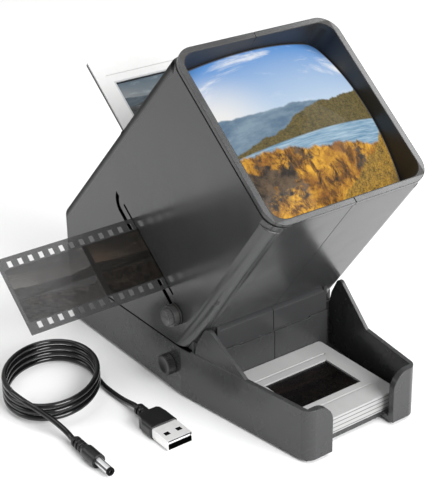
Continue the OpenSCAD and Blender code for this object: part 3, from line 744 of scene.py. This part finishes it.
GREY_TONES = (
    (srgb(66, 64, 63), srgb(46, 46, 46), srgb(78, 76, 74), srgb(84, 82, 80)),
    (srgb(38, 38, 38), srgb(54, 53, 52)),
    (srgb(22, 22, 22), srgb(44, 43, 42)),
    (srgb(40, 40, 40), srgb(62, 61, 60)),
    (srgb(22, 22, 22), srgb(44, 42, 41), srgb(66, 63, 60)),
    (srgb(30, 30, 30), srgb(54, 53, 52)),
)
BROWN_TONES = (
    (srgb(42, 38, 34), srgb(30, 28, 26), srgb(54, 48, 42), srgb(60, 50, 42)),
    (srgb(24, 22, 20), srgb(34, 31, 28)),
    (srgb(12, 11, 10), srgb(28, 25, 22)),
    (srgb(26, 24, 22), srgb(40, 36, 32)),
    (srgb(12, 11, 10), srgb(26, 23, 20), srgb(44, 38, 32)),
    (srgb(16, 14, 13), srgb(32, 28, 25)),
)


def lens_material():
    """Polished lens, filled by the enlarged picture, which glows with painted light in place of the
    lamp behind it.
    """
    g = Graph("lens_picture")
    x, v, _ = g.xyz(in_gate(g))
    u = g.over(x, LENS_HW)
    w = g.over(g.less(v, AXIS_V), LENS_HH)
    uu, ww = g.times(u, u), g.times(w, w)
    # the lens swells what it shows, a little less towards its edges
    far = g.scaled(uu, 0.09, g.scaled(ww, 0.09, 0.9))
    picture = landscape(g, g.times(u, far), g.times(w, far), 4.2, BRIGHT_TONES)
    # the picture darkens into the corners: painted falloff of that glow
    corners = g.remap(g.add(uu, ww), 1.15, 1.95, 0.0, 0.75, soft=True)
    picture = g.mix(corners, picture, (0.02, 0.03, 0.045))
    edge = g.most(g.size(u), g.size(w))
    rim = (0.03, 0.03, 0.032)
    shown = g.mix(g.remap(edge, 0.965, 0.99, soft=True), picture, rim)
    g.set(Base_Color=g.mix(g.remap(edge, 0.955, 0.985), (0.012, 0.013, 0.014), rim))
    # the glow is painted light, standing in for the lamp behind the picture
    g.set(Emission_Color=shown, Emission_Strength=0.95)
    dust = g.noise(g.place, 900, 3, 0.6)
    g.set(Roughness=g.remap(dust, 0.3, 0.8, 0.05, 0.12), Specular_IOR_Level=0.02)
    g.relief((g.noise(g.place, 60, 2, 0.5), 0.02, 0.05 * MM))
    return g.material


def slide_picture(name, tones, middle, tilted, seed, rough, specular):
    """The piece of film in a slide mount, with a small dim picture."""
    g = Graph(name)
    x, v, _ = g.xyz(in_gate(g) if tilted else g.place)
    u = g.over(g.less(x, middle[0]), SLIDE_WIN_W / 2)
    w = g.over(g.less(v, middle[1]), SLIDE_WIN_H / 2)
    edge = g.most(g.less(g.size(u), 0.02), g.size(w))
    picture = landscape(g, u, w, seed, tones)
    g.set(Base_Color=g.mix(g.remap(edge, 0.945, 0.965), picture, (0.008, 0.009, 0.01)))
    scuff = g.noise(g.place, 300, 4, 0.6)
    g.set(Roughness=g.remap(scuff, 0.3, 0.8, rough, rough + 0.12), Specular_IOR_Level=specular)
    g.relief((g.noise(g.place, 70, 2, 0.5), 0.1, 0.1 * MM))
    return g.material


def film_material():
    """A strip of smoky see-through film: a grey frame, then brown ones, between greyer edges."""
    g = Graph("film_strip_base")
    x, v, _ = g.xyz(in_gate(g))
    step = g.over(g.less(x, FIRST_FRAME_X - FRAME_PITCH / 2), FRAME_PITCH)
    along = g.scaled(g.math("FRACT", step), FRAME_PITCH, -FRAME_PITCH / 2)
    u = g.over(along, FRAME_W / 2)
    w = g.over(g.less(v, FILM_V), FRAME_H / 2)
    in_length = g.remap(g.size(u), 0.985, 1.0, 1.0, 0.0)
    in_height = g.remap(g.size(w), 0.985, 1.0, 1.0, 0.0)
    inside = g.times(in_length, in_height)
    seed = g.times(g.math("FLOOR", step), 2.7)
    frames = g.mix(g.remap(step, 0.99, 1.01), landscape(g, u, w, seed, GREY_TONES, 0.6),
                   landscape(g, u, w, seed, BROWN_TONES, 0.6))
    smoke = g.noise(g.place, 160, 3, 0.5)
    edge = g.mix(smoke, srgb(48, 48, 49), srgb(58, 58, 59))
    # the dark bar between two frames; the strip's end has none
    between_two = g.times(g.less(1.0, in_length), in_height, g.remap(step, 0.1, 0.12))
    g.set(Base_Color=g.mix(between_two, g.mix(inside, edge, frames), srgb(26, 25, 24)))
    g.set(Alpha=g.remap(g.most(inside, between_two), 0.0, 1.0, 0.72, 0.88))
    g.set(Roughness=g.remap(smoke, 0.2, 0.8, 0.12, 0.26), Specular_IOR_Level=0.4)
    g.relief((smoke, 0.06, 0.05 * MM))
    return g.material


# ---- finishes of the solids ----
def dress(piece, material):
    """Gives a piece one material, in each of its slots."""
    if not piece.material_slots:
        piece.data.materials.append(material)
    for place in piece.material_slots:
        place.material = material


def finish_solids():
    """Makes the finishes and gives each piece its own."""
    housing = moulded("housing_plastic", (0.033, 0.0335, 0.0345), (0.041, 0.0415, 0.0425), 0.2,
                      rounding=0.5 * MM, specular=0.57, shaded=hood, black_shade=head_painted_shade)
    base = moulded("base_plastic", (0.032, 0.0325, 0.0335), (0.04, 0.0405, 0.0415), 0.26,
                   rounding=0.5 * MM, black_shade=seam_shadow)
    # the lever knob is toned lighter than the light knob, as painted light on its lit cap; both
    # knobs carry painted shade next to the housing
    lever_knob = moulded("lever_knob_plastic", (0.048, 0.048, 0.049), (0.062, 0.062, 0.063), 0.24,
                         rounding=0.12 * MM, shaded=lever_shade)
    light_knob = moulded("light_knob_plastic", (0.012, 0.012, 0.013), (0.018, 0.018, 0.019), 0.3,
                         rounding=0.12 * MM, specular=0.4, shaded=knob_foot_shade)
    trim = moulded("trim_plastic", (0.012, 0.012, 0.013), (0.02, 0.02, 0.021), 0.45)
    blue = moulded("component_plastic", (0.04, 0.1, 0.26), (0.06, 0.14, 0.33), 0.4)
    feet = rubbery("foot_rubber", (0.012, 0.012, 0.012), (0.024, 0.024, 0.024), 0.7)
    sheath = rubbery("cable_sheath", (0.0025, 0.0025, 0.003), (0.005, 0.005, 0.0055), 0.17,
                     sheen=0.0, skin_strength=0.06)
    moulding = rubbery("plug_moulding", (0.003, 0.003, 0.0035), (0.006, 0.006, 0.0065), 0.34,
                       sheen=0.0, skin_strength=0.2)
    steel = plated("plated_steel", (0.9, 0.9, 0.91))
    shell = plated("plug_shell_steel", (0.98, 0.98, 0.97), shell_inside_shade, 0.6)
    tip = plated("plug_tip_steel", (0.8, 0.8, 0.81), tip_ring_and_reflections)
    white = card("mount_white", (0.5, 0.5, 0.497), (0.6, 0.6, 0.597), back_half_shade,
                 (0.04, 0.04, 0.04), window_edge_shade, (0.38, 0.39, 0.4))
    grey = card("tray_mount_grey", (0.34, 0.34, 0.337), (0.44, 0.44, 0.437), joint_lines,
                (0.12, 0.12, 0.12))
    dim = slide_picture("slide_picture_dim", DIM_TONES, (SLIDE_X, SLIDE_MID_V), tilted=True,
                        seed=2.3, rough=0.18, specular=0.5)
    night = slide_picture("slide_picture_night", NIGHT_TONES, (0, TRAY_MID_Y), tilted=False,
                          seed=6.1, rough=0.22, specular=0.2)
    tray = range(1, TRAY_SLIDES + 1)
    groups = (
        (housing, "head_left", "head_right"),
        (base, "base_left", "base_right"),
        (lens_material(), "lens"),
        (trim, "lens_retainer", "gate_frame", "lever_shoe", "power_jack"),
        (opal("opal_plastic"), "diffuser", "light_box"),
        (board("circuit_board"), "led_board", "control_board"),
        (lever_knob, "lever_knob"),
        (light_knob, "light_knob"),
        (blue, "dimmer"),
        (steel, "housing_screws"),
        (feet, "rubber_feet"),
        (film_material(), "film_strip"),
        (white, "viewed_mount"),
        (dim, "viewed_film"),
        (grey, *(f"tray_mount_{i}" for i in tray)),
        (night, *(f"tray_film_{i}" for i in tray)),
        (moulding, "usb_plug_body", "dc_plug_body"),
        (shell, "usb_plug_shell"),
        (tip, "dc_plug_tip"),
        (sheath, "cable_coil", "usb_lead", "dc_lead"),
    )
    for material, *names in groups:
        for name in names:
            dress(nodes[name], material)
    dress(cable, sheath)
    dress(cover, base)


finish_solids()

# ---- floor and light ----
FLOOR_SIZE = 6.0
OBJECT_MIDDLE = (0, 0, 0.07)
WORLD_STRENGTH = 0.38


def make_floor():
    """A wide sheet of white paper under the part."""
    mesh = bpy.data.meshes.new("floor")
    shape = bmesh.new()
    bmesh.ops.create_grid(shape, x_segments=2, y_segments=2, size=FLOOR_SIZE / 2)
    shape.to_mesh(mesh)
    shape.free()
    floor = bpy.data.objects.new("floor", mesh)
    bpy.context.scene.collection.objects.link(floor)
    g = Graph("floor_paper")
    g.set(Base_Color=g.mix(g.noise(g.place, 6, 3, 0.5), (0.86, 0.86, 0.86), (0.88, 0.88, 0.88)))
    g.set(Roughness=0.8, Specular_IOR_Level=0.1)
    mesh.materials.append(g.material)


def softbox(name, at, width, height, watts):
    """A rectangular area lamp that faces the middle of the part."""
    data = bpy.data.lights.new(name, "AREA")
    data.shape = "RECTANGLE"
    data.size, data.size_y = width, height
    data.energy = watts
    lamp = bpy.data.objects.new(name, data)
    lamp.location = at
    aim = Vector(OBJECT_MIDDLE) - Vector(at)
    lamp.rotation_euler = aim.to_track_quat("-Z", "Y").to_euler()
    bpy.context.scene.collection.objects.link(lamp)


def make_world():
    """Even white light from all round."""
    world = bpy.data.worlds.new("studio")
    world.use_nodes = True
    background = world.node_tree.nodes["Background"]
    background.inputs["Color"].default_value = (1, 1, 1, 1)
    background.inputs["Strength"].default_value = WORLD_STRENGTH
    bpy.context.scene.world = world


make_floor()
softbox("key", (0.88, -0.3, 0.92), 0.45, 0.45, 4)
softbox("front", (0.1, -1.2, 0.75), 0.9, 0.6, 28)
softbox("top", (0, 0.1, 1.3), 1.2, 1.2, 9)
softbox("left", (-0.9, 0.8, 0.8), 0.6, 0.6, 3)
make_world()
bpy.context.scene.view_settings.view_transform = "Standard"

bpy.context.view_layer.update()
